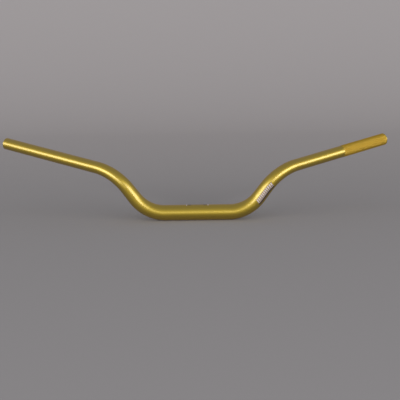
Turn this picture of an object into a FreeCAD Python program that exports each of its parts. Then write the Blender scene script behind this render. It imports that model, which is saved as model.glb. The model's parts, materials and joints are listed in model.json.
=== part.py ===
import FreeCAD, Part
import Sketcher
import math
import os

# A motorcycle handlebar, bent from one tapered aluminium tube, with a printed film label on one riser.
# Lengths are millimetres and angles are degrees.
# The origin is the middle of the clamp section, on the tube's axis. +Z is up, +Y points back to the
# rider, and +X to the rider's left, which is the clutch side.
# Each half runs outwards as a tube bender states it: straight, bend, straight, roll, bend, straight.

SIZES = (
    ("clamp_diameter", 28.6, "outside of the middle, where the clamps hold the bar"),
    ("clamp_wall", 4.0, "wall there"),
    ("clamp_straight", 117.0, "straight length of the middle"),
    ("rise_radius", 67.5, "first bend, on the tube's axis"),
    ("rise_angle", 53.4, "first bend, which turns the tube upwards"),
    ("riser_straight", 22.0, "straight between the two bends"),
    ("sweep_roll_angle", 141.3, "how far the tube is rolled about itself before the second bend"),
    ("sweep_radius", 82.5, "second bend, on the tube's axis"),
    ("sweep_angle", 50.6, "second bend, which lays the tube outwards and back"),
    ("grip_straight", 213.5, "straight length at each end, for grip, lever and switches"),
    ("grip_diameter", 22.2, "outside there"),
    ("grip_wall", 4.1, "wall there"),
    ("knurl_length", 107.5, "knurled band under the clutch side's grip, up to the end"),
    ("knurl_rise", 0.2, "how far the knurl's crests stand above the tube"),
    ("knurl_lead", 0.8, "length of the cone where the band begins"),
    ("end_chamfer", 1.2, "outer rim of each end"),
    ("bore_chamfer", 0.5, "inner rim of each end"),
    ("label_length", 44.0, "film label along the riser"),
    ("label_width", 14.0, "film label round the riser, laid flat"),
    ("label_slant", 10.0, "lean of the label's ends, as of slanted print"),
    ("label_corner", 1.5, "radius of the label's corners"),
    ("label_thickness", 0.15, "the film itself"),
    ("label_place", 13.0, "from the riser's lower end to the label's middle"),
    ("label_roll_angle", 11.0, "from straight ahead to the label's middle, outwards and down"),
)

TOUCHING = 0.001  # two points or radii this close are the same

doc = FreeCAD.newDocument("handlebar")
sheet = doc.addObject("Spreadsheet::Sheet", "Sizes")
for row, (name, value, meaning) in enumerate(SIZES, 1):
    sheet.set(f"A{row}", name)
    sheet.set(f"B{row}", str(value))
    sheet.set(f"C{row}", meaning)
    sheet.setAlias(f"B{row}", name)
doc.recompute()


# Places along the tube
# A place is a frame on the tube's axis, written as an expression: x runs outwards along the tube,
# y points to the side that the next bend turns to, and z is the axis that it bends about.


def straight(place, length):
    """The place a straight length further along the tube."""
    return f"{place} * placement(vector({length}; 0; 0); rotation(0; 0; 0))"


def bent(place, radius, angle):
    """The place at the end of a bend."""
    ahead = f"{radius} * sin({angle})"
    aside = f"{radius} * (1 - cos({angle}))"
    return f"{place} * placement(vector({ahead}; {aside}; 0); rotation(vector(0; 0; 1); {angle}))"


def rolled(place, angle):
    """The same place with the tube rolled about its own axis."""
    return f"{place} * placement(vector(0; 0; 0); rotation(vector(1; 0; 0); {angle}))"


MIDDLE = "placement(vector(0; 0; 0); rotation(vector(1; 0; 0); 90))"
RISE_START = straight(MIDDLE, "Sizes.clamp_straight / 2")
RISE_END = bent(RISE_START, "Sizes.rise_radius", "Sizes.rise_angle")
RISER_END = straight(RISE_END, "Sizes.riser_straight")
SWEEP_START = rolled(RISER_END, "-Sizes.sweep_roll_angle")
SWEEP_END = bent(SWEEP_START, "Sizes.sweep_radius", "Sizes.sweep_angle")
BAR_END = straight(SWEEP_END, "Sizes.grip_straight")
LABEL_MIDDLE = rolled(straight(RISE_END, "Sizes.label_place"), "Sizes.label_roll_angle")

# The taper
# The tube narrows evenly along its axis, from where the first bend starts to where the second ends.

RISE_ARC = "(Sizes.rise_radius * Sizes.rise_angle * pi / 180)"
SWEEP_ARC = "(Sizes.sweep_radius * Sizes.sweep_angle * pi / 180)"
TAPER = f"({RISE_ARC} + Sizes.riser_straight + {SWEEP_ARC})"
CLAMP_BORE = "(Sizes.clamp_diameter - 2 * Sizes.clamp_wall)"
GRIP_BORE = "(Sizes.grip_diameter - 2 * Sizes.grip_wall)"
UP_TO_RISER = RISE_ARC
UP_TO_SWEEP = f"({RISE_ARC} + Sizes.riser_straight)"
UP_TO_LABEL = f"({RISE_ARC} + Sizes.label_place)"


def outside(along):
    """Outer diameter at a distance along the taper."""
    return f"(Sizes.clamp_diameter + (Sizes.grip_diameter - Sizes.clamp_diameter) * {along} / {TAPER})"


def bore(along):
    """Inner diameter at a distance along the taper."""
    return f"({CLAMP_BORE} + ({GRIP_BORE} - {CLAMP_BORE}) * {along} / {TAPER})"


def over_label(along):
    """Outer diameter of the film at a distance along the taper."""
    return f"({outside(along)} + 2 * Sizes.label_thickness)"


# Sketches and features


def origin_plane(body, role):
    return next(plane for plane in body.Origin.OriginFeatures if plane.Role == role)


def sketch(body, name, place):
    """An empty sketch in the x-y plane of a place."""
    made = body.newObject("Sketcher::SketchObject", name)
    made.AttachmentSupport = (origin_plane(body, "XY_Plane"), "")
    made.MapMode = "FlatFace"
    made.setExpression("AttachmentOffset", place)
    return made


def bind(drawn, constraint, name, size):
    """Add a dimension to a sketch and tie it to a size."""
    index = drawn.addConstraint(constraint)
    drawn.renameConstraint(index, name)
    drawn.setExpression(f"Constraints.{name}", size)


def ring(body, name, place, outer, inner):
    """The tube's section at a place, square to its axis."""
    facing_along = f"{place} * placement(vector(0; 0; 0); rotation(vector(0; 1; 0); 90))"
    drawn = sketch(body, name, facing_along)
    for label, size, start in (("outer", outer, 20.0), ("inner", inner, 10.0)):
        circle = Part.Circle(FreeCAD.Vector(0, 0, 0), FreeCAD.Vector(0, 0, 1), start / 2)
        index = drawn.addGeometry(circle, False)
        drawn.addConstraint(Sketcher.Constraint("Coincident", index, 3, -1, 1))
        bind(drawn, Sketcher.Constraint("Diameter", index, start), label, size)
    return drawn


def bend_path(body, name, place, radius, angle):
    """The tube's axis through a bend: an arc that starts at the place, along its x, and turns to its y."""
    drawn = sketch(body, name, place)
    start = 50.0
    circle = Part.Circle(FreeCAD.Vector(0, start, 0), FreeCAD.Vector(0, 0, 1), start)
    drawn.addGeometry(Part.ArcOfCircle(circle, -math.pi / 2, 0.0), False)
    drawn.addConstraint(Sketcher.Constraint("Coincident", 0, 1, -1, 1))
    drawn.addConstraint(Sketcher.Constraint("PointOnObject", 0, 3, -2))
    bind(drawn, Sketcher.Constraint("Radius", 0, start), "bend_radius", radius)
    bind(drawn, Sketcher.Constraint("Angle", 0, math.pi / 2), "bend_angle", angle)
    return drawn


def bend(body, name, first, last, path):
    """A bend whose section changes evenly from the first ring to the last."""
    made = body.newObject("PartDesign::AdditivePipe", name)
    made.Profile = first
    made.Sections = [last]
    made.Spine = (path, ["Edge1"])
    made.Transformation = "Multisection"
    return made


def cone(body, name, first, last):
    """A straight stretch whose section changes evenly from the first ring to the last."""
    made = body.newObject("PartDesign::AdditiveLoft", name)
    made.Profile = first
    made.Sections = [last]
    made.Ruled = True
    return made


def tapered_stretch(body, outer, inner):
    """Both bends and the riser between them, with the given diameters along the taper."""
    rise_start = ring(body, "rise_start", RISE_START, outer("0"), inner("0"))
    rise_end = ring(body, "rise_end", RISE_END, outer(UP_TO_RISER), inner(UP_TO_RISER))
    rise_path = bend_path(body, "rise_path", RISE_START, "Sizes.rise_radius", "Sizes.rise_angle")
    riser_end = ring(body, "riser_end", RISER_END, outer(UP_TO_SWEEP), inner(UP_TO_SWEEP))
    sweep_start = ring(body, "sweep_start", SWEEP_START, outer(UP_TO_SWEEP), inner(UP_TO_SWEEP))
    sweep_end = ring(body, "sweep_end", SWEEP_END, outer(TAPER), inner(TAPER))
    sweep_path = bend_path(body, "sweep_path", SWEEP_START, "Sizes.sweep_radius", "Sizes.sweep_angle")
    doc.recompute()
    rise = bend(body, "rise_bend", rise_start, rise_end, rise_path)
    riser = cone(body, "riser", rise_end, riser_end)
    sweep = bend(body, "sweep_bend", sweep_start, sweep_end, sweep_path)
    doc.recompute()
    return [rise, riser, sweep]


def rims(shape, place, radius_is):
    """Names of the round edges at both bar ends whose radius passes the test."""
    centre = place.Base
    other = FreeCAD.Vector(-centre.x, centre.y, centre.z)
    names = []
    for index, edge in enumerate(shape.Edges, 1):
        if not isinstance(edge.Curve, Part.Circle) or not radius_is(edge.Curve.Radius):
            continue
        middle = edge.Curve.Center
        if min(middle.distanceToPoint(centre), middle.distanceToPoint(other)) < TOUCHING:
            names.append(f"Edge{index}")
    return names


def chamfer(body, name, base, edges, size):
    made = body.newObject("PartDesign::Chamfer", name)
    made.Base = (base, edges)
    made.setExpression("Size", size)
    doc.recompute()
    return made


# The tube


def make_tube():
    """The bar itself: middle, two bends and a grip on each side, and the clutch side's knurled band."""
    body = doc.addObject("PartDesign::Body", "Tube")
    body.Label = "handlebar_tube"

    middle_ring = ring(body, "middle_ring", MIDDLE, "Sizes.clamp_diameter", CLAMP_BORE)
    middle = body.newObject("PartDesign::Pad", "clamp_section")
    middle.Profile = middle_ring
    middle.Midplane = True
    middle.setExpression("Length", "Sizes.clamp_straight")
    doc.recompute()

    half = tapered_stretch(body, outside, bore)
    grip_ring = ring(body, "grip_ring", SWEEP_END, "Sizes.grip_diameter", GRIP_BORE)
    grip = body.newObject("PartDesign::Pad", "grip_section")
    grip.Profile = grip_ring
    grip.setExpression("Length", "Sizes.grip_straight")
    doc.recompute()

    other_half = body.newObject("PartDesign::Mirrored", "other_half")
    other_half.Originals = half + [grip]
    other_half.MirrorPlane = (origin_plane(body, "YZ_Plane"), [""])
    body.Tip = other_half
    doc.recompute()

    band = make_knurl_band(body)
    end = sketch(body, "bar_end", BAR_END)
    doc.recompute()
    bore_radius = (sheet.grip_diameter - 2 * sheet.grip_wall) / 2
    outer_rims = rims(band.Shape, end.Placement, lambda radius: radius > bore_radius + TOUCHING)
    rounded = chamfer(body, "outer_rims", band, outer_rims, "Sizes.end_chamfer")
    inner_rims = rims(rounded.Shape, end.Placement, lambda radius: abs(radius - bore_radius) < TOUCHING)
    chamfer(body, "inner_rims", rounded, inner_rims, "Sizes.bore_chamfer")
    return body


def make_knurl_band(body):
    """The band that the knurl stands on, at its crests, with a short cone where it begins."""
    lead_start = straight(BAR_END, "-Sizes.knurl_length")
    band_start = straight(lead_start, "Sizes.knurl_lead")
    crest = "(Sizes.grip_diameter + 2 * Sizes.knurl_rise)"
    plain_ring = ring(body, "lead_ring", lead_start, "Sizes.grip_diameter", GRIP_BORE)
    crest_ring = ring(body, "band_ring", band_start, crest, GRIP_BORE)
    doc.recompute()
    cone(body, "knurl_lead", plain_ring, crest_ring)
    doc.recompute()
    band = body.newObject("PartDesign::Pad", "knurl_band")
    band.Profile = crest_ring
    band.setExpression("Length", "Sizes.knurl_length - Sizes.knurl_lead")
    doc.recompute()
    return band


# The label


def make_label():
    """A film wrapped on the riser: a sleeve of the film's thickness, cut to the label's outline."""
    sleeve = doc.addObject("PartDesign::Body", "LabelSleeve")
    sleeve.Label = "label_sleeve"
    tapered_stretch(sleeve, over_label, outside)

    outline = doc.addObject("PartDesign::Body", "LabelOutline")
    outline.Label = "label_outline"
    drawn = sketch(outline, "label_edges", LABEL_MIDDLE)
    draw_slanted_box(drawn, "Sizes.label_length", label_chord(), "90 - Sizes.label_slant")
    block = outline.newObject("PartDesign::Pad", "label_block")
    block.Profile = drawn
    block.setExpression("Length", "Sizes.clamp_diameter")
    doc.recompute()
    outwards = drawn.Placement.Rotation.multVec(FreeCAD.Vector(0, 0, 1))
    corners = outline.newObject("PartDesign::Fillet", "label_corners")
    corners.Base = (block, edges_along(block.Shape, outwards))
    corners.setExpression("Radius", "Sizes.label_corner")
    doc.recompute()

    label = doc.addObject("Part::Common", "RiserLabel")
    label.Label = "riser_label"
    label.Base = sleeve
    label.Tool = outline
    doc.recompute()
    return label


def label_chord():
    """Straight across the label once it is wrapped round the riser."""
    radius = f"({outside(UP_TO_LABEL)} / 2)"
    return f"2 * {radius} * sin(Sizes.label_width / {radius} / 2 * 180 / pi)"


def draw_slanted_box(drawn, length, width, end_angle):
    """A box about the sketch's origin, with level sides and slanted ends."""
    half = 10.0
    corners = [FreeCAD.Vector(x * half, y * half, 0) for x, y in ((-1, -1), (1, -1), (1, 1), (-1, 1))]
    for first, second in zip(corners, corners[1:] + corners[:1]):
        drawn.addGeometry(Part.LineSegment(first, second), False)
    lower, outer_end, upper, inner_end = range(4)
    for line in (lower, outer_end, upper, inner_end):
        drawn.addConstraint(Sketcher.Constraint("Coincident", line, 2, (line + 1) % 4, 1))
    drawn.addConstraint(Sketcher.Constraint("Horizontal", lower))
    drawn.addConstraint(Sketcher.Constraint("Horizontal", upper))
    drawn.addConstraint(Sketcher.Constraint("Parallel", outer_end, inner_end))
    drawn.addConstraint(Sketcher.Constraint("Symmetric", lower, 1, upper, 1, -1, 1))
    bind(drawn, Sketcher.Constraint("DistanceX", lower, 1, lower, 2, 2 * half), "length", length)
    bind(drawn, Sketcher.Constraint("DistanceY", outer_end, 1, outer_end, 2, 2 * half), "width", width)
    bind(drawn, Sketcher.Constraint("Angle", outer_end, math.pi / 2), "end_angle", end_angle)


def edges_along(shape, direction):
    """Names of a shape's straight edges that run along a direction."""
    names = []
    for index, edge in enumerate(shape.Edges, 1):
        run = edge.Vertexes[-1].Point - edge.Vertexes[0].Point
        if run.Length > 0 and abs(run.normalize().dot(direction)) > 0.999:
            names.append(f"Edge{index}")
    return names


# Checks and files


def frustum(length, first, last):
    """Volume of a round bar whose diameter changes evenly along its axis, straight or bent."""
    return math.pi * length * (first**2 + first * last + last**2) / 12


def expected_tube_volume():
    taper = math.radians(sheet.rise_angle) * sheet.rise_radius + sheet.riser_straight
    taper += math.radians(sheet.sweep_angle) * sheet.sweep_radius
    clamp_bore = sheet.clamp_diameter - 2 * sheet.clamp_wall
    grip_bore = sheet.grip_diameter - 2 * sheet.grip_wall
    middle = frustum(sheet.clamp_straight, sheet.clamp_diameter, sheet.clamp_diameter)
    middle -= frustum(sheet.clamp_straight, clamp_bore, clamp_bore)
    bends = frustum(taper, sheet.clamp_diameter, sheet.grip_diameter) - frustum(taper, clamp_bore, grip_bore)
    grip = frustum(sheet.grip_straight, sheet.grip_diameter, sheet.grip_diameter)
    grip -= frustum(sheet.grip_straight, grip_bore, grip_bore)
    crest = sheet.grip_diameter + 2 * sheet.knurl_rise
    band = frustum(sheet.knurl_length, crest, crest)
    band -= frustum(sheet.knurl_length, sheet.grip_diameter, sheet.grip_diameter)
    return middle + 2 * bends + 2 * grip + band


def expected_label_volume():
    return sheet.label_length * sheet.label_width * sheet.label_thickness


def check_objects():
    for item in doc.Objects:
        if "Invalid" in item.State or "Error" in item.State:
            raise RuntimeError(f"{item.Label} did not build: {item.State}")


def write(piece, expected):
    """Check one piece and write its file."""
    shape = piece.Shape
    if shape.isNull() or not shape.isValid() or len(shape.Solids) != 1:
        raise RuntimeError(f"{piece.Label} is not one valid solid")
    share = shape.Volume / expected
    print(f"{piece.Label}: {shape.Volume:.1f} mm3, {share:.3f} of the volume worked out from its sizes")
    if not 0.95 < share < 1.05:
        raise RuntimeError(f"{piece.Label} has the wrong volume")
    shape.exportStep(os.path.join("parts", f"{piece.Label}.step"))


os.makedirs("parts", exist_ok=True)
tube = make_tube()
label = make_label()
doc.recompute()
check_objects()
write(tube, expected_tube_volume())
write(label, expected_label_volume())
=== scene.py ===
import json
import math

import bpy
from mathutils import Matrix, Vector


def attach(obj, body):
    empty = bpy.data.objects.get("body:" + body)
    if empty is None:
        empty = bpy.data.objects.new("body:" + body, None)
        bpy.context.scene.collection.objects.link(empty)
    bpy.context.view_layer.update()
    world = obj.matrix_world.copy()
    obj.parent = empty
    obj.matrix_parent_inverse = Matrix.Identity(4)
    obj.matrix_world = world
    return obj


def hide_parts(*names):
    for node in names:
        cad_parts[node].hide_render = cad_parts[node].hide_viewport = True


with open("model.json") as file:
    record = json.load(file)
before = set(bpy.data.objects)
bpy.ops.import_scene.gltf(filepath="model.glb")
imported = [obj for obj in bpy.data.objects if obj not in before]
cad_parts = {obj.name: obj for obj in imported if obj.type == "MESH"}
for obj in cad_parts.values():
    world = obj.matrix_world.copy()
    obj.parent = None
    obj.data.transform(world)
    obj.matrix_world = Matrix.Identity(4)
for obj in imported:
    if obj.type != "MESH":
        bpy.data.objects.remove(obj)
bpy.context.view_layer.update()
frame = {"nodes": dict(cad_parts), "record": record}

# Looks of a motorcycle handlebar: one tapered tube in gold anodised aluminium, bent twice on each side,
# with a knurled band under the clutch side's grip, a printed film label and clamp marks.
# The tube is turned straight and then bent. What is printed on it is drawn flat, wrapped and bent with it.
# +X is the clutch side, +Y points back to the rider and +Z is up. Lengths are metres.

bl_info = {
    "name": "Motorcycle handlebar",
    "version": (1, 0, 0),
    "blender": (4, 5, 0),
    "location": "3D View > Sidebar > Handlebar",
    "description": "Builds a tapered motorcycle handlebar, its label, its clamp marks and a plain studio",
    "category": "Add Mesh",
}

MM = 0.001
BODY = "root"

MOUNTS = {mount["name"]: mount for mount in frame["record"]["mounts"]}
CLAMP = MOUNTS["clamp_seat"]["dims"]
SMOOTH_GRIP = MOUNTS["throttle_side_seat"]["dims"]
KNURL_SEAT = MOUNTS["clutch_side_grip_seat"]["dims"]
GRIP_BORE = MOUNTS["clutch_side_bore"]["dims"]


def linear(colour):
    """Linear red, green and blue of an sRGB hex colour."""
    channels = [int(colour[place:place + 2], 16) / 255 for place in (1, 3, 5)]
    return tuple(c / 12.92 if c <= 0.04045 else ((c + 0.055) / 1.055) ** 2.4 for c in channels)


def length(name, description, millimetres):
    return bpy.props.FloatProperty(
        name=name, description=description, default=millimetres * MM, min=0.0, unit="LENGTH", precision=5)


def angle(name, description, degrees):
    return bpy.props.FloatProperty(
        name=name, description=description, default=math.radians(degrees), subtype="ANGLE")


def colour(name, description, value):
    return bpy.props.FloatVectorProperty(
        name=name, description=description, default=linear(value), subtype="COLOR", size=3, min=0.0, max=1.0)


# What a user may change


class TubeSizes(bpy.types.PropertyGroup):
    """The tube as its bender states it: straight, bend, straight, roll, bend, straight."""
    clamp_diameter: length("Clamp diameter", "Outside of the middle", 2 * CLAMP["r_mm"])
    clamp_straight: length("Clamp straight", "Straight length of the middle", CLAMP["length_mm"])
    clamp_wall: length("Clamp wall", "Wall of the middle", 4.0)
    rise_radius: length("Rise radius", "First bend, on the axis", 67.5)
    rise_angle: angle("Rise angle", "First bend, which turns the tube upwards", 53.4)
    riser_straight: length("Riser straight", "Straight between the two bends", 22.0)
    sweep_roll: angle("Sweep roll", "Roll of the tube before the second bend", 141.3)
    sweep_radius: length("Sweep radius", "Second bend, on the axis", 82.5)
    sweep_angle: angle("Sweep angle", "Second bend, which lays the tube outwards and back", 50.6)
    grip_straight: length("Grip straight", "Straight length at each end", 213.5)
    grip_diameter: length("Grip diameter", "Outside of each end", 2 * SMOOTH_GRIP["r_mm"])
    grip_bore: length("Grip bore", "Inside of each end", 2 * GRIP_BORE["r_mm"])
    end_chamfer: length("End chamfer", "Outer rim of each end", 1.2)
    bore_chamfer: length("Bore chamfer", "Inner rim of each end", 0.5)


class KnurlSizes(bpy.types.PropertyGroup):
    """The diamonds rolled into the clutch side's grip end."""
    band_length: length("Band length", "Full band, without its lead and the end's chamfer",
                        KNURL_SEAT["length_mm"])
    crest_diameter: length("Crest diameter", "Over the diamonds", 2 * KNURL_SEAT["r_mm"])
    depth: length("Depth", "From a diamond's flat top to the groove", 0.16)
    lead: length("Lead", "Cone where the band begins", 0.8)
    end_land: length("End land", "Plain ring between the last diamonds and the end's chamfer", 1.6)
    diamonds_round: bpy.props.IntProperty(
        name="Diamonds round", description="Diamonds in one turn", default=46, min=8)
    diamond_length: length("Diamond length", "One diamond along the tube", 1.5)


class LabelSizes(bpy.types.PropertyGroup):
    """The print on the label film, on the clutch side's riser."""
    place: length("Place", "From the riser's lower end to the label's middle", 13.0)
    roll: angle("Roll", "From straight ahead to the label's middle, outwards and down", 11.0)
    slant: angle("Slant", "Lean of the label and its print", 10.0)
    thickness: length("Film", "Thickness of the film", 0.15)
    ink: length("Ink", "Thickness of the ink", 0.02)


class Finishes(bpy.types.PropertyGroup):
    """Colours of the finishes."""
    gold: colour("Gold dye", "Anodised aluminium, dyed gold", "#B3980D")
    # Painted light: the knurl's gold is paler and more orange than the tube's, for the light its matt, broken
    # surface catches. The dye is the same.
    knurl_gold_painted_paler: colour("Knurl gold", "The same dye on the knurl's broken surface", "#C2A138")
    ground_ink: colour("Ground ink", "Brown ground of the label", "#3D3029")
    pale_ink: colour("Pale ink", "Pale print", "#C6B8B8")
    dark_ink: colour("Dark ink", "Dark print", "#2B1F1B")
    # The backdrop's paler colour is painted light, standing in for a more brightly lit backdrop.
    floor: colour("Floor", "Paper under the bar", "#9A9799")
    backdrop: colour("Backdrop", "Paper behind the bar", "#B4AFB0")


# Helpers


def add(tree, kind, inputs=None, **settings):
    """Add a node with its settings. An input is a value, or an output to link."""
    node = tree.nodes.new(kind)
    for name, value in settings.items():
        setattr(node, name, value)
    for key, value in (inputs or {}).items():
        if isinstance(value, bpy.types.NodeSocket):
            tree.links.new(value, node.inputs[key])
        else:
            node.inputs[key].default_value = value
    return node


def new_tree(name, inputs):
    """A geometry tree that takes a geometry and the named inputs, with its group input and output."""
    tree = bpy.data.node_groups.new(name, "GeometryNodeTree")
    tree.interface.new_socket("Geometry", in_out="INPUT", socket_type="NodeSocketGeometry")
    for label, kind in inputs:
        tree.interface.new_socket(label, in_out="INPUT", socket_type=kind)
    tree.interface.new_socket("Geometry", in_out="OUTPUT", socket_type="NodeSocketGeometry")
    return tree, tree.nodes.new("NodeGroupInput"), tree.nodes.new("NodeGroupOutput")


def built_mesh(source, tree, values, name):
    """The plain mesh object that a geometry tree makes from a source object."""
    modifier = source.modifiers.new(tree.name, "NODES")
    modifier.node_group = tree
    identifiers = {
        item.name: item.identifier
        for item in tree.interface.items_tree if item.item_type == "SOCKET" and item.in_out == "INPUT"
    }
    for label, value in values.items():
        modifier[identifiers[label]] = value
    bpy.context.view_layer.update()
    evaluated = source.evaluated_get(bpy.context.evaluated_depsgraph_get())
    mesh = bpy.data.meshes.new_from_object(evaluated)
    mesh.name = name
    if mesh.materials[0] is None:  # the empty slot of the tree's first mesh
        mesh.materials.pop(index=0)
    source.modifiers.remove(modifier)
    bpy.data.objects.remove(source)
    piece = bpy.data.objects.new(name, mesh)
    bpy.context.scene.collection.objects.link(piece)
    return piece


def point_object(name, points, attributes=None):
    """A mesh of loose points, in order, with a number or more for each."""
    mesh = bpy.data.meshes.new(name)
    mesh.from_pydata(points, [], [])
    for label, values in (attributes or {}).items():
        mesh.attributes.new(label, "FLOAT", "POINT").data.foreach_set("value", values)
    made = bpy.data.objects.new(name, mesh)
    bpy.context.scene.collection.objects.link(made)
    return made


def stations(first, last, spacing):
    """Evenly spaced values from first up to last, without last."""
    count = max(1, math.ceil(abs(last - first) / spacing))
    return [first + (last - first) * step / count for step in range(count)]


# The tube's axis

AXIS_STEP = 1.0 * MM


def axis_points(tube):
    """Points on the bent tube's axis, from the throttle side's end to the clutch side's."""
    place = Matrix.Rotation(math.pi / 2, 4, "X")
    points = [place.translation.copy()]
    route = (
        (tube.clamp_straight / 2, 0.0, 0.0),
        (tube.rise_radius * tube.rise_angle, tube.rise_angle, 0.0),
        (tube.riser_straight, 0.0, -tube.sweep_roll),
        (tube.sweep_radius * tube.sweep_angle, tube.sweep_angle, 0.0),
        (tube.grip_straight, 0.0, 0.0),
    )
    for run, turn, roll_after in route:
        steps = math.ceil(run / AXIS_STEP)
        step, step_turn = run / steps, turn / steps
        half = Matrix.Rotation(step_turn / 2, 4, "Z")
        chord = step if turn == 0.0 else 2 * run / turn * math.sin(step_turn / 2)
        for _ in range(steps):
            place = place @ half @ Matrix.Translation((chord, 0, 0)) @ half
            points.append(place.translation.copy())
        place = place @ Matrix.Rotation(roll_after, 4, "X")
    other_side = [Vector((-point.x, point.y, point.z)) for point in reversed(points[1:])]
    return other_side + points


def make_axis(tube):
    """The axis as a curve whose normals stay level."""
    curve = bpy.data.curves.new("tube_axis", "CURVE")
    curve.dimensions = "3D"
    curve.twist_mode = "Z_UP"
    points = axis_points(tube)
    spline = curve.splines.new("POLY")
    spline.points.add(len(points) - 1)
    for drawn, point in zip(spline.points, points):
        drawn.co = (*point, 1.0)
    axis = bpy.data.objects.new("tube_axis", curve)
    bpy.context.scene.collection.objects.link(axis)
    return axis


def taper_span(tube):
    """Where the taper starts and ends, along the axis from the tube's middle."""
    start = tube.clamp_straight / 2
    arcs = tube.rise_radius * tube.rise_angle + tube.sweep_radius * tube.sweep_angle
    return start, start + arcs + tube.riser_straight


def bend_group():
    """Group: move points of the straight tube, which lies along x, onto its bent axis."""
    tree, given, result = new_tree("Bend along axis", [("Axis", "NodeSocketObject")])
    place = add(tree, "GeometryNodeInputPosition").outputs[0]
    parts = add(tree, "ShaderNodeSeparateXYZ", {0: place})
    straight = add(tree, "GeometryNodeStoreNamedAttribute", {
        "Geometry": given.outputs["Geometry"], "Name": "straight_place", "Value": place,
    }, data_type="FLOAT_VECTOR", domain="POINT")
    axis = add(tree, "GeometryNodeObjectInfo", {"Object": given.outputs["Axis"]}).outputs["Geometry"]
    whole = add(tree, "GeometryNodeCurveLength", {"Curve": axis}).outputs[0]
    along = add(tree, "ShaderNodeMath", {0: whole, 1: 0.5, 2: parts.outputs["X"]}, operation="MULTIPLY_ADD")
    sample = add(tree, "GeometryNodeSampleCurve", {"Curves": axis, "Length": along.outputs[0]}, mode="LENGTH")
    ahead = sample.outputs["Normal"]
    up = add(tree, "ShaderNodeVectorMath", {0: ahead, 1: sample.outputs["Tangent"]},
             operation="CROSS_PRODUCT")
    back_by = add(tree, "ShaderNodeMath", {0: parts.outputs["Y"], 1: -1.0}, operation="MULTIPLY").outputs[0]
    aside = add(tree, "ShaderNodeVectorMath", {0: ahead, "Scale": back_by}, operation="SCALE").outputs[0]
    raised = add(tree, "ShaderNodeVectorMath", {0: up.outputs[0], "Scale": parts.outputs["Z"]},
                 operation="SCALE")
    offset = add(tree, "ShaderNodeVectorMath", {0: aside, 1: raised.outputs[0]}, operation="ADD").outputs[0]
    moved = add(tree, "ShaderNodeVectorMath", {0: sample.outputs["Position"], 1: offset}, operation="ADD")
    bent = add(tree, "GeometryNodeSetPosition", {
        "Geometry": straight.outputs[0], "Position": moved.outputs[0]})
    tree.links.new(bent.outputs[0], result.inputs[0])
    return tree


# The tube

BEND_SPACING = 3.5 * MM
BORE_SPACING = 8.0 * MM
SEAM_GAP = 0.001 * MM  # closer points are one
CREASE_ANGLE = math.radians(20)
KNURL_STEPS = 4  # mesh steps in one diamond, each way
PLAIN = -1.0  # knurl row of a point outside the band
LEVEL_LAND = 0.8  # share of the end land that is level; the rest slopes to the last diamonds


def tapered_radius(tube, along, clamp_diameter, grip_diameter):
    """Half of a diameter that goes evenly from the clamp's to the grip's."""
    start, end = taper_span(tube)
    share = min(max((abs(along) - start) / (end - start), 0.0), 1.0)
    return (clamp_diameter + (grip_diameter - clamp_diameter) * share) / 2


def half_section(tube, knurl):
    """The straight tube's section on one side of its axis: a closed round of (along, radius, knurl row)."""
    start, end = taper_span(tube)
    tip = end + tube.grip_straight
    crest, grip, bore = knurl.crest_diameter / 2, tube.grip_diameter / 2, tube.grip_bore / 2
    clamp_bore = tube.clamp_diameter - 2 * tube.clamp_wall
    band_end = tip - tube.end_chamfer
    band_start = band_end - knurl.band_length
    taper = [*stations(-end, -start, BEND_SPACING), -start, *stations(start, end, BEND_SPACING), end]
    outer = [(-tip, grip - tube.end_chamfer, PLAIN), (-band_end, grip, PLAIN)]
    outer += [(along, tapered_radius(tube, along, tube.clamp_diameter, tube.grip_diameter), PLAIN)
              for along in taper]
    outer += [(band_start - knurl.lead, grip, PLAIN)]
    diamonds = knurl.band_length - knurl.end_land
    rows = round(diamonds / knurl.diamond_length * KNURL_STEPS)
    outer += [(band_start + diamonds * row / rows, crest, float(row)) for row in range(rows + 1)]
    outer += [(band_end - knurl.end_land * LEVEL_LAND, crest, PLAIN), (band_end, crest, PLAIN)]
    outer += [(tip, crest - tube.end_chamfer, PLAIN)]
    bore_end = tip - tube.bore_chamfer
    inner = [(tip, bore + tube.bore_chamfer, PLAIN), (bore_end, bore, PLAIN)]
    for first, last in ((end, start), (start, -start), (-start, -end)):
        inner += [(along, tapered_radius(tube, along, clamp_bore, tube.grip_bore), PLAIN)
                  for along in stations(first, last, BORE_SPACING)]
    inner += [(-end, bore, PLAIN), (-bore_end, bore, PLAIN), (-tip, bore + tube.bore_chamfer, PLAIN)]
    return outer + inner


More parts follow.
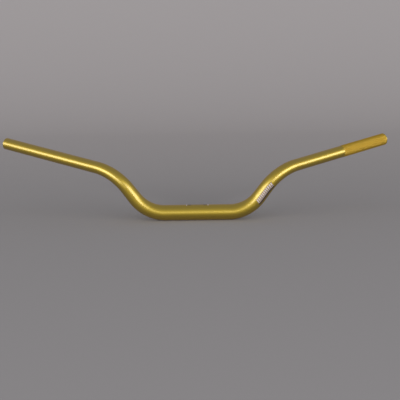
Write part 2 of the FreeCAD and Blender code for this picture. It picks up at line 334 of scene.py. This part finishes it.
def tube_tree(bend):
    """Tree: turn a half section about the x axis, press the knurl into it and bend it."""
    tree, given, result = new_tree("Turned and bent tube", [
        ("Sides", "NodeSocketInt"), ("Knurl depth", "NodeSocketFloat"),
        ("Axis", "NodeSocketObject"), ("Material", "NodeSocketMaterial"),
        ("Knurl material", "NodeSocketMaterial")])
    section, sides = given.outputs["Geometry"], given.outputs["Sides"]
    rows = add(tree, "GeometryNodeAttributeDomainSize", {0: section}, component="MESH").outputs["Point Count"]
    more_rows = add(tree, "ShaderNodeMath", {0: rows, 1: 1.0}, operation="ADD").outputs[0]
    more_sides = add(tree, "ShaderNodeMath", {0: sides, 1: 1.0}, operation="ADD").outputs[0]
    grid = add(tree, "GeometryNodeMeshGrid", {
        "Size X": rows, "Size Y": sides, "Vertices X": more_rows, "Vertices Y": more_sides})
    place = add(tree, "ShaderNodeSeparateXYZ", {0: add(tree, "GeometryNodeInputPosition").outputs[0]})
    row = add(tree, "ShaderNodeMath", {0: rows, 1: 0.5, 2: place.outputs["X"]}, operation="MULTIPLY_ADD")
    column = add(tree, "ShaderNodeMath", {0: sides, 1: 0.5, 2: place.outputs["Y"]}, operation="MULTIPLY_ADD")
    row = add(tree, "ShaderNodeMath", {0: row.outputs[0]}, operation="ROUND").outputs[0]
    column = add(tree, "ShaderNodeMath", {0: column.outputs[0]}, operation="ROUND").outputs[0]
    index = add(tree, "ShaderNodeMath", {0: row, 1: rows}, operation="MODULO").outputs[0]
    drawn = add(tree, "GeometryNodeSampleIndex", {
        "Geometry": section, "Value": add(tree, "GeometryNodeInputPosition").outputs[0], "Index": index,
    }, data_type="FLOAT_VECTOR", domain="POINT")
    drawn = add(tree, "ShaderNodeSeparateXYZ", {0: drawn.outputs[0]})
    named = add(tree, "GeometryNodeInputNamedAttribute", {"Name": "knurl_row"}, data_type="FLOAT")
    knurl_row = add(tree, "GeometryNodeSampleIndex", {
        "Geometry": section, "Value": named.outputs["Attribute"], "Index": index,
    }, data_type="FLOAT", domain="POINT").outputs[0]

    # Steps from the nearest diamond's middle, counted both ways and folded, so that reach is the groove.
    reach = KNURL_STEPS / 2
    over = add(tree, "ShaderNodeMath", {0: knurl_row, 1: reach}, operation="PINGPONG").outputs[0]
    across = add(tree, "ShaderNodeMath", {0: column, 1: reach}, operation="PINGPONG").outputs[0]
    steps = add(tree, "ShaderNodeMath", {0: over, 1: across}, operation="ADD").outputs[0]
    steps = add(tree, "ShaderNodeMath", {0: steps, 1: reach}, operation="PINGPONG").outputs[0]
    sunk = add(tree, "ShaderNodeMapRange", {"Value": steps, "From Min": reach - 1, "From Max": reach})
    in_band = add(tree, "ShaderNodeMath", {0: knurl_row, 1: PLAIN / 2}, operation="GREATER_THAN").outputs[0]
    depth = add(tree, "ShaderNodeMath", {0: sunk.outputs[0], 1: in_band}, operation="MULTIPLY").outputs[0]
    depth = add(tree, "ShaderNodeMath", {0: depth, 1: given.outputs["Knurl depth"]}, operation="MULTIPLY")
    radius = add(tree, "ShaderNodeMath", {0: drawn.outputs["Y"], 1: depth.outputs[0]}, operation="SUBTRACT")

    turn = add(tree, "ShaderNodeMath", {0: column, 1: sides}, operation="DIVIDE").outputs[0]
    turn = add(tree, "ShaderNodeMath", {0: turn, 1: 2 * math.pi}, operation="MULTIPLY").outputs[0]
    cosine = add(tree, "ShaderNodeMath", {0: turn}, operation="COSINE").outputs[0]
    sine = add(tree, "ShaderNodeMath", {0: turn}, operation="SINE").outputs[0]
    y = add(tree, "ShaderNodeMath", {0: cosine, 1: radius.outputs[0]}, operation="MULTIPLY").outputs[0]
    z = add(tree, "ShaderNodeMath", {0: sine, 1: radius.outputs[0]}, operation="MULTIPLY").outputs[0]
    turned_place = add(tree, "ShaderNodeCombineXYZ", {"X": drawn.outputs["X"], "Y": y, "Z": z})
    band_mask = add(tree, "GeometryNodeStoreNamedAttribute", {
        "Geometry": grid.outputs["Mesh"], "Name": "knurled", "Value": in_band,
    }, data_type="FLOAT", domain="POINT")
    turned = add(tree, "GeometryNodeSetPosition", {
        "Geometry": band_mask.outputs[0], "Position": turned_place.outputs[0]})
    closed = add(tree, "GeometryNodeMergeByDistance", {"Geometry": turned.outputs[0], "Distance": SEAM_GAP})
    outwards = add(tree, "GeometryNodeFlipFaces", {"Mesh": closed.outputs[0]})
    cut = add(tree, "GeometryNodeTriangulate", {"Mesh": outwards.outputs[0]}, quad_method="SHORTEST_DIAGONAL")
    bent = add(tree, "GeometryNodeGroup", node_tree=bend)
    tree.links.new(cut.outputs[0], bent.inputs["Geometry"])
    tree.links.new(given.outputs["Axis"], bent.inputs["Axis"])
    smooth = add(tree, "GeometryNodeSetShadeSmooth", {"Geometry": bent.outputs[0], "Shade Smooth": True},
                 domain="FACE")
    edge = add(tree, "GeometryNodeInputMeshEdgeAngle").outputs["Unsigned Angle"]
    sharp = add(tree, "ShaderNodeMath", {0: edge, 1: CREASE_ANGLE}, operation="GREATER_THAN").outputs[0]
    creased = add(tree, "GeometryNodeSetShadeSmooth", {
        "Geometry": smooth.outputs[0], "Selection": sharp, "Shade Smooth": False}, domain="EDGE")
    real = add(tree, "GeometryNodeRealizeInstances", {"Geometry": creased.outputs[0]})
    coated = add(tree, "GeometryNodeSetMaterial", {
        "Geometry": real.outputs[0], "Material": given.outputs["Material"]})
    marked = add(tree, "GeometryNodeInputNamedAttribute", {"Name": "knurled"}, data_type="FLOAT")
    whole = add(tree, "ShaderNodeMath", {0: marked.outputs["Attribute"], 1: 0.99}, operation="GREATER_THAN")
    knurl_coated = add(tree, "GeometryNodeSetMaterial", {
        "Geometry": coated.outputs[0], "Selection": whole.outputs[0],
        "Material": given.outputs["Knurl material"]})
    tree.links.new(knurl_coated.outputs[0], result.inputs[0])
    return tree


# Print

INK_CUTS_ALONG, INK_CUTS_ROUND = 24, 14  # points of a printed box, so that it bends with the tube


def wrap_group():
    """Group: wrap flat points round the straight tube. x is along, y is round and downwards, z is height."""
    tree, given, result = new_tree("Wrap round tube", [
        ("Along", "NodeSocketFloat"), ("Round", "NodeSocketFloat"), ("Lean", "NodeSocketFloat"),
        ("Clamp radius", "NodeSocketFloat"), ("Grip radius", "NodeSocketFloat"),
        ("Taper start", "NodeSocketFloat"), ("Taper end", "NodeSocketFloat")])
    place = add(tree, "GeometryNodeInputPosition").outputs[0]
    flat = add(tree, "ShaderNodeSeparateXYZ", {0: place})
    kept = add(tree, "GeometryNodeStoreNamedAttribute", {
        "Geometry": given.outputs["Geometry"], "Name": "flat_place", "Value": place,
    }, data_type="FLOAT_VECTOR", domain="POINT")
    lean = add(tree, "ShaderNodeMath", {0: given.outputs["Lean"]}, operation="TANGENT").outputs[0]
    shift = add(tree, "ShaderNodeMath", {0: flat.outputs["Y"], 1: lean}, operation="MULTIPLY").outputs[0]
    leaning = add(tree, "ShaderNodeMath", {0: flat.outputs["X"], 1: shift}, operation="SUBTRACT").outputs[0]
    along = add(tree, "ShaderNodeMath", {0: leaning, 1: given.outputs["Along"]}, operation="ADD").outputs[0]
    distance = add(tree, "ShaderNodeMath", {0: along}, operation="ABSOLUTE").outputs[0]
    base = add(tree, "ShaderNodeMapRange", {
        "Value": distance, "From Min": given.outputs["Taper start"], "From Max": given.outputs["Taper end"],
        "To Min": given.outputs["Clamp radius"], "To Max": given.outputs["Grip radius"]}).outputs[0]
    bow = add(tree, "ShaderNodeMath", {0: flat.outputs["Y"], 1: base}, operation="DIVIDE").outputs[0]
    turn = add(tree, "ShaderNodeMath", {0: bow, 1: given.outputs["Round"]}, operation="ADD").outputs[0]
    radius = add(tree, "ShaderNodeMath", {0: base, 1: flat.outputs["Z"]}, operation="ADD").outputs[0]
    inwards = add(tree, "ShaderNodeMath", {0: radius, 1: -1.0}, operation="MULTIPLY").outputs[0]
    cosine = add(tree, "ShaderNodeMath", {0: turn}, operation="COSINE").outputs[0]
    sine = add(tree, "ShaderNodeMath", {0: turn}, operation="SINE").outputs[0]
    y = add(tree, "ShaderNodeMath", {0: cosine, 1: inwards}, operation="MULTIPLY").outputs[0]
    z = add(tree, "ShaderNodeMath", {0: sine, 1: inwards}, operation="MULTIPLY").outputs[0]
    wrapped_place = add(tree, "ShaderNodeCombineXYZ", {"X": along, "Y": y, "Z": z})
    wrapped = add(tree, "GeometryNodeSetPosition", {
        "Geometry": kept.outputs[0], "Position": wrapped_place.outputs[0]})
    tree.links.new(wrapped.outputs[0], result.inputs[0])
    return tree


def print_tree(wrap, bend):
    """Tree: a thin box of ink on each point, as long and wide as the point says, wrapped and bent."""
    passed_on = [item for item in wrap.interface.items_tree if item.in_out == "INPUT"][1:]
    tree, given, result = new_tree("Printed boxes", [
        *((item.name, item.socket_type) for item in passed_on),
        ("Axis", "NodeSocketObject"), ("Material", "NodeSocketMaterial")])
    box = add(tree, "GeometryNodeMeshCube", {
        "Size": (1.0, 1.0, 1.0), "Vertices X": INK_CUTS_ALONG, "Vertices Y": INK_CUTS_ROUND, "Vertices Z": 2})
    sizes = [
        add(tree, "GeometryNodeInputNamedAttribute", {"Name": name}, data_type="FLOAT").outputs["Attribute"]
        for name in ("run", "width", "thickness")
    ]
    scale = add(tree, "ShaderNodeCombineXYZ", {0: sizes[0], 1: sizes[1], 2: sizes[2]})
    boxes = add(tree, "GeometryNodeInstanceOnPoints", {
        "Points": given.outputs["Geometry"], "Instance": box.outputs["Mesh"], "Scale": scale.outputs[0]})
    real = add(tree, "GeometryNodeRealizeInstances", {"Geometry": boxes.outputs[0]})
    turned_over = add(tree, "GeometryNodeFlipFaces", {"Mesh": real.outputs[0]})  # wrapping mirrors them
    wrapped = add(tree, "GeometryNodeGroup", node_tree=wrap)
    tree.links.new(turned_over.outputs[0], wrapped.inputs["Geometry"])
    for item in passed_on:
        tree.links.new(given.outputs[item.name], wrapped.inputs[item.name])
    bent = add(tree, "GeometryNodeGroup", node_tree=bend)
    tree.links.new(wrapped.outputs[0], bent.inputs["Geometry"])
    tree.links.new(given.outputs["Axis"], bent.inputs["Axis"])
    inked = add(tree, "GeometryNodeSetMaterial", {
        "Geometry": bent.outputs[0], "Material": given.outputs["Material"]})
    tree.links.new(inked.outputs[0], result.inputs[0])
    return tree


def print_boxes(name, boxes, height, thickness, where, material):
    """Print flat boxes, given as (along, round, run, width) in millimetres, on the bent tube.
    Where is the print's middle along the tube, its turn round the tube and its lean."""
    tube = bpy.context.scene.handlebar_tube
    start, end = taper_span(tube)
    points = [(along * MM, round_by * MM, height) for along, round_by, _, _ in boxes]
    source = point_object(name + "_points", points, {
        "run": [run * MM for _, _, run, _ in boxes],
        "width": [width * MM for _, _, _, width in boxes],
        "thickness": [thickness] * len(boxes),
    })
    axis = make_axis(tube)
    piece = built_mesh(source, print_tree(wrap_group(), bend_group()), {
        "Along": where[0], "Round": where[1], "Lean": where[2],
        "Clamp radius": tube.clamp_diameter / 2, "Grip radius": tube.grip_diameter / 2,
        "Taper start": start, "Taper end": end, "Axis": axis, "Material": material,
    }, name)
    bpy.data.objects.remove(axis)
    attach(piece, BODY)
    return piece


# Materials

LINE_SPACING = 0.5 * MM  # polishing lines
LINE_STRETCH = 12.0  # per metre round the tube, so that a line runs far
CLOUD_SIZE = 30 * MM  # clouds in the dye
GRAIN_SIZE = 0.8 * MM  # mottle of the ink
OXIDE_IOR = 1.77  # aluminium oxide


def new_material(name):
    """A node material's tree and its surface shader."""
    material = bpy.data.materials.new(name)
    material.use_nodes = True
    tree = material.node_tree
    return material, tree, tree.nodes["Principled BSDF"]


def shades(value, spread):
    """A darker and a paler shade of a colour, between which a pattern mixes."""
    return (*(c * (1 - spread) for c in value), 1.0), (*(min(c * (1 + spread), 1) for c in value), 1.0)


def anodised_aluminium(name, gold, roughness, coat, coat_roughness):
    """Gold anodised aluminium: polished metal under a clear, dyed oxide film.
    The metal gives the gold and its long highlights, and the film the paler gloss on top of them."""
    material, tree, shader = new_material(name)
    straight = add(tree, "ShaderNodeAttribute", attribute_name="straight_place").outputs["Vector"]

    # Polishing lines run round the tube. Real ones are under 0.1 mm apart, too fine to show, so these are
    # wider.
    lines_place = add(tree, "ShaderNodeMapping", {
        "Vector": straight, "Scale": (1 / LINE_SPACING, LINE_STRETCH, LINE_STRETCH)})
    lines = add(tree, "ShaderNodeTexNoise", {"Vector": lines_place.outputs[0], "Scale": 1.0, "Detail": 3.0})
    clouds_place = add(tree, "ShaderNodeMapping", {"Vector": straight, "Scale": (1 / CLOUD_SIZE,) * 3})
    clouds = add(tree, "ShaderNodeTexNoise", {"Vector": clouds_place.outputs[0], "Scale": 1.0, "Detail": 2.0})

    darker, paler = shades(gold, 0.05)
    base = add(tree, "ShaderNodeMix", {"Factor": clouds.outputs["Fac"], "A": darker, "B": paler},
               data_type="RGBA")
    tree.links.new(base.outputs["Result"], shader.inputs["Base Color"])
    uneven = add(tree, "ShaderNodeMapRange", {
        "Value": lines.outputs["Fac"], "From Min": 0.3, "From Max": 0.7,
        "To Min": roughness - 0.03, "To Max": roughness + 0.03})
    tree.links.new(uneven.outputs[0], shader.inputs["Roughness"])
    bump = add(tree, "ShaderNodeBump", {
        "Height": lines.outputs["Fac"], "Strength": 0.2, "Distance": 0.002 * MM})
    tree.links.new(bump.outputs[0], shader.inputs["Normal"])
    shader.inputs["Metallic"].default_value = 1.0
    shader.inputs["Specular Tint"].default_value = (*(min(1.6 * c, 1) for c in gold), 1.0)
    shader.inputs["Coat Weight"].default_value = coat
    shader.inputs["Coat Roughness"].default_value = coat_roughness
    shader.inputs["Coat IOR"].default_value = OXIDE_IOR
    return material


def ink(name, value, roughness):
    """Screen ink, dry: an even colour with a faint mottle and a soft gloss."""
    material, tree, shader = new_material(name)
    place = add(tree, "ShaderNodeTexCoord").outputs["Object"]
    grain_place = add(tree, "ShaderNodeMapping", {"Vector": place, "Scale": (1 / GRAIN_SIZE,) * 3})
    grain = add(tree, "ShaderNodeTexNoise", {"Vector": grain_place.outputs[0], "Scale": 1.0, "Detail": 2.0})
    darker, paler = shades(value, 0.1)
    base = add(tree, "ShaderNodeMix", {"Factor": grain.outputs["Fac"], "A": darker, "B": paler},
               data_type="RGBA")
    tree.links.new(base.outputs["Result"], shader.inputs["Base Color"])
    uneven = add(tree, "ShaderNodeMapRange", {
        "Value": grain.outputs["Fac"], "To Min": roughness - 0.04, "To Max": roughness + 0.04})
    tree.links.new(uneven.outputs[0], shader.inputs["Roughness"])
    return material


def clear_film(finishes):
    """Clear vinyl film on the tube: the gold shows through, under the film's own smoother gloss,
    which is as strong as the oxide's beside it."""
    material, _, shader = new_material("clear_vinyl_film")
    shader.inputs["Base Color"].default_value = (*finishes.gold, 1.0)
    shader.inputs["Metallic"].default_value = 1.0
    shader.inputs["Roughness"].default_value = 0.43
    shader.inputs["Coat Weight"].default_value = 1.0
    shader.inputs["Coat Roughness"].default_value = 0.24
    shader.inputs["Coat IOR"].default_value = 1.8
    return material


def paper(finishes):
    """Matt studio paper, painted paler from the floor under the bar to the backdrop: painted light, standing
    in for a more brightly lit backdrop.
    """
    material, tree, shader = new_material("studio_paper")
    place = add(tree, "ShaderNodeSeparateXYZ", {0: add(tree, "ShaderNodeTexCoord").outputs["Object"]})
    # Painted light: the paper is paler towards the backdrop, standing in for a more brightly lit backdrop.
    behind = add(tree, "ShaderNodeMapRange", {
        "Value": place.outputs["Y"], "From Min": PAPER_PAINTED_LIGHT_SPAN[0], "From Max": PAPER_PAINTED_LIGHT_SPAN[1]})
    painted_light_tone = add(tree, "ShaderNodeMix", {
        "Factor": behind.outputs[0], "A": (*finishes.floor, 1.0), "B": (*finishes.backdrop, 1.0),
    }, data_type="RGBA")
    tree.links.new(painted_light_tone.outputs["Result"], shader.inputs["Base Color"])
    shader.inputs["Roughness"].default_value = 0.9
    shader.inputs["Specular IOR Level"].default_value = 0.1
    return material


# Operators


class HANDLEBAR_OT_tube(bpy.types.Operator):
    """Turn the tube with its knurl and bend it"""
    bl_idname = "handlebar.tube"
    bl_label = "Tube"

    def execute(self, context):
        tube, knurl = context.scene.handlebar_tube, context.scene.handlebar_knurl
        finishes = context.scene.handlebar_finishes
        section = half_section(tube, knurl)
        source = point_object("half_section", [(along, radius, 0.0) for along, radius, _ in section],
                              {"knurl_row": [row for _, _, row in section]})
        axis = make_axis(tube)
        piece = built_mesh(source, tube_tree(bend_group()), {
            "Sides": knurl.diamonds_round * KNURL_STEPS, "Knurl depth": knurl.depth, "Axis": axis,
            "Material": anodised_aluminium(
                "satin_anodised_aluminium", finishes.gold, roughness=0.43, coat=1.0, coat_roughness=0.27),
            # The knurl's paler gold is painted light, for the light its matt surface catches.
            "Knurl material": anodised_aluminium(
                "knurled_anodised_aluminium", finishes.knurl_gold_painted_paler, roughness=0.56, coat=0.2,
                coat_roughness=0.4),
        }, "anodised_tube")
        bpy.data.objects.remove(axis)
        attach(piece, BODY)
        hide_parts("handlebar_tube")
        return {"FINISHED"}


class HANDLEBAR_OT_label(bpy.types.Operator):
    """Lay the label's clear film and print its slanted bars"""
    bl_idname = "handlebar.label"
    bl_label = "Label"

    # The generic motif, in millimetres: an even row of equal slanted bars in pale ink, each with one small
    # dark square and a brown outline. The outline is a column under the bar, which starts at a brown band.
    BARS, BAR_PITCH, BAR_RUN, BAR_WIDTH, BAR_ROUND = 11, 3.8, 2.4, 7.6, -0.9
    SQUARE, SQUARE_ROUND = 1.3, 1.2
    OUTLINE = 0.5
    BAND_TOP, BAND_END, BAND_RUN = 4.0, 6.7, 42.0

    def execute(self, context):
        tube, label = context.scene.handlebar_tube, context.scene.handlebar_label
        finishes = context.scene.handlebar_finishes
        node = frame["nodes"]["riser_label"]
        node.data.materials.clear()
        node.data.materials.append(clear_film(finishes))
        along = tube.clamp_straight / 2 + tube.rise_radius * tube.rise_angle + label.place
        places = [(step - (self.BARS - 1) / 2) * self.BAR_PITCH for step in range(self.BARS)]
        bars = [(place, self.BAR_ROUND, self.BAR_RUN, self.BAR_WIDTH) for place in places]
        squares = [(place, self.SQUARE_ROUND, self.SQUARE, self.SQUARE) for place in places]
        top = self.BAR_ROUND - self.BAR_WIDTH / 2 - self.OUTLINE
        ground = [(0.0, (self.BAND_TOP + self.BAND_END) / 2, self.BAND_RUN, self.BAND_END - self.BAND_TOP)]
        ground += [(place, (top + self.BAND_TOP) / 2, self.BAR_RUN + self.OUTLINE, self.BAND_TOP - top)
                   for place in places]
        prints = (
            ("label_ground", ground, ink("brown_screen_ink", finishes.ground_ink, 0.4)),
            ("label_bars", bars, ink("pale_screen_ink", finishes.pale_ink, 0.4)),
            ("label_squares", squares, ink("dark_screen_ink", finishes.dark_ink, 0.4)),
        )
        for layer, (name, boxes, material) in enumerate(prints, start=1):
            # Each layer stands one ink higher than the one below. Its box sinks as far into the film.
            piece = print_boxes(name, boxes, label.thickness, 2 * layer * label.ink,
                                (along, label.roll, label.slant), material)
        return {"FINISHED"}


class HANDLEBAR_OT_marks(bpy.types.Operator):
    """Print the clamp marks on top of the middle"""
    bl_idname = "handlebar.marks"
    bl_label = "Clamp marks"

    # On top of the middle, as (along, round, run, width) in millimetres.
    PALE = ((-19.5, 0.0, 1.4, 9.0), (19.5, 0.0, 1.4, 9.0))
    DARK_FIRST, DARK_PITCH, DARK_COUNT, DARK_RUN, DARK_WIDTH = 12.0, 1.5, 4, 0.7, 9.0
    FINE_REACH, FINE_PITCH, FINE_RUN, FINE_WIDTH = 10, 2, 0.3, 5.0

    def execute(self, context):
        label, finishes = context.scene.handlebar_label, context.scene.handlebar_finishes
        dark = [
            (side * (self.DARK_FIRST + step * self.DARK_PITCH), 0.0, self.DARK_RUN, self.DARK_WIDTH)
            for side in (-1, 1) for step in range(self.DARK_COUNT)
        ]
        dark += [
            (float(place), 0.0, self.FINE_RUN, self.FINE_WIDTH)
            for place in range(-self.FINE_REACH, self.FINE_REACH + 1, self.FINE_PITCH)
        ]
        on_top = (0.0, -math.pi / 2, 0.0)
        pale = ink("pale_marking_ink", finishes.pale_ink, 0.45)
        print_boxes("clamp_marks_pale", self.PALE, 0.0, 2 * label.ink, on_top, pale)
        deep = ink("dark_marking_ink", finishes.dark_ink, 0.45)
        print_boxes("clamp_marks_dark", dark, 0.0, 2 * label.ink, on_top, deep)
        return {"FINISHED"}


# Camera, as the photograph sees the bar
AIM = (5.07 * MM, 0.0, 22.76 * MM)
CAMERA_DISTANCE = 1534.7 * MM
CAMERA_AZIMUTH, CAMERA_ELEVATION, CAMERA_ROLL = 1.004, 11.812, -0.569  # degrees
CAMERA_LENS = 75.757  # mm, on a sensor 36 mm wide

# Soft boxes: name, place, width, height and power in watts. Each faces the bar and is clear of the floor.
LAMPS = (
    ("side_box_left", (-3.5, -3.5, 1.16), 5.6, 2.24, 172.0),
    ("side_box_right", (3.5, -3.5, 1.16), 5.6, 2.24, 172.0),
    ("front_box", (0.0, -2.3, 0.55), 2.2, 0.42, 2.6),
)
LAMP_AIM = (0.0, 0.03, 0.05)
WORLD = 0.37  # even light from all sides

PAPER_STEPS = 24  # faces in the paper's sweep
# The paper's paler colour towards the backdrop is painted light, standing in for a more brightly lit
# backdrop.
PAPER_PAINTED_LIGHT_SPAN = (0.1, 1.3)  # metres behind the clamp section between which the paper gets paler


class HANDLEBAR_OT_stage(bpy.types.Operator):
    """Make the paper floor and backdrop, the soft boxes and the camera"""
    bl_idname = "handlebar.stage"
    bl_label = "Stage"

    # The paper: half width, reach to the front, flat to the back, radius of its sweep and height of its wall.
    PAPER = (3.0, 3.0, 1.2, 2.2, 0.3)

    def execute(self, context):
        self.lay_paper(context)
        for name, place, width, height, power in LAMPS:
            lamp = bpy.data.lights.new(name, "AREA")
            lamp.shape = "RECTANGLE"
            lamp.size, lamp.size_y, lamp.energy = width, height, power
            held = bpy.data.objects.new(name, lamp)
            held.location = place
            held.rotation_euler = (Vector(LAMP_AIM) - Vector(place)).to_track_quat("-Z", "Y").to_euler()
            held.visible_camera = False
            context.scene.collection.objects.link(held)
        world = bpy.data.worlds.new("studio")
        world.use_nodes = True
        world.node_tree.nodes["Background"].inputs["Color"].default_value = (WORLD, WORLD, WORLD, 1.0)
        context.scene.world = world
        context.scene.view_settings.view_transform = "Standard"
        self.place_camera(context)
        return {"FINISHED"}

    def lay_paper(self, context):
        half_width, front, flat, radius, wall = self.PAPER
        floor = -context.scene.handlebar_tube.clamp_diameter / 2
        outline = [(-front, 0.0), (flat, 0.0)]
        outline += [
            (flat + radius * math.sin(turn), radius * (1 - math.cos(turn)))
            for turn in (math.pi / 2 * step / PAPER_STEPS for step in range(1, PAPER_STEPS + 1))
        ]
        outline.append((flat + radius, radius + wall))
        points = [(side * half_width, y, floor + z) for y, z in outline for side in (-1, 1)]
        faces = [(2 * i, 2 * i + 1, 2 * i + 3, 2 * i + 2) for i in range(len(outline) - 1)]
        mesh = bpy.data.meshes.new("paper_sweep")
        mesh.from_pydata(points, [], faces)
        mesh.polygons.foreach_set("use_smooth", [True] * len(faces))
        mesh.materials.append(paper(context.scene.handlebar_finishes))
        sweep = bpy.data.objects.new("paper_sweep", mesh)
        context.scene.collection.objects.link(sweep)

    def place_camera(self, context):
        azimuth, elevation = math.radians(CAMERA_AZIMUTH), math.radians(CAMERA_ELEVATION)
        back = Vector((-math.sin(azimuth) * math.cos(elevation), -math.cos(azimuth) * math.cos(elevation),
                       math.sin(elevation)))
        lens = bpy.data.cameras.new("photo_camera")
        lens.lens = CAMERA_LENS
        camera = bpy.data.objects.new("photo_camera", lens)
        level = (-back).to_track_quat("-Z", "Y").to_matrix()
        turned = level @ Matrix.Rotation(math.radians(CAMERA_ROLL), 3, "Z")
        camera.matrix_world = Matrix.Translation(Vector(AIM) + back * CAMERA_DISTANCE) @ turned.to_4x4()
        context.scene.collection.objects.link(camera)
        context.scene.camera = camera


class HANDLEBAR_PT_panel(bpy.types.Panel):
    """Sidebar panel that lists the handlebar's pieces"""
    bl_idname = "HANDLEBAR_PT_panel"
    bl_label = "Handlebar"
    bl_space_type = "VIEW_3D"
    bl_region_type = "UI"
    bl_category = "Handlebar"

    def draw(self, context):
        for operator in OPERATORS:
            self.layout.operator(operator.bl_idname)
        for name in GROUPS:
            group = getattr(context.scene, name)
            column = self.layout.column()
            for key in group.__annotations__:
                column.prop(group, key)


OPERATORS = (HANDLEBAR_OT_tube, HANDLEBAR_OT_label, HANDLEBAR_OT_marks, HANDLEBAR_OT_stage)
GROUPS = {
    "handlebar_tube": TubeSizes,
    "handlebar_knurl": KnurlSizes,
    "handlebar_label": LabelSizes,
    "handlebar_finishes": Finishes,
}


def register():
    for item in (*GROUPS.values(), *OPERATORS, HANDLEBAR_PT_panel):
        bpy.utils.register_class(item)
    for name, group in GROUPS.items():
        setattr(bpy.types.Scene, name, bpy.props.PointerProperty(type=group))


def unregister():
    for name in GROUPS:
        delattr(bpy.types.Scene, name)
    for item in reversed((*GROUPS.values(), *OPERATORS, HANDLEBAR_PT_panel)):
        bpy.utils.unregister_class(item)


def main():
    register()
    bpy.ops.handlebar.tube()
    bpy.ops.handlebar.label()
    bpy.ops.handlebar.marks()
    bpy.ops.handlebar.stage()


if __name__ == "__main__":
    main()
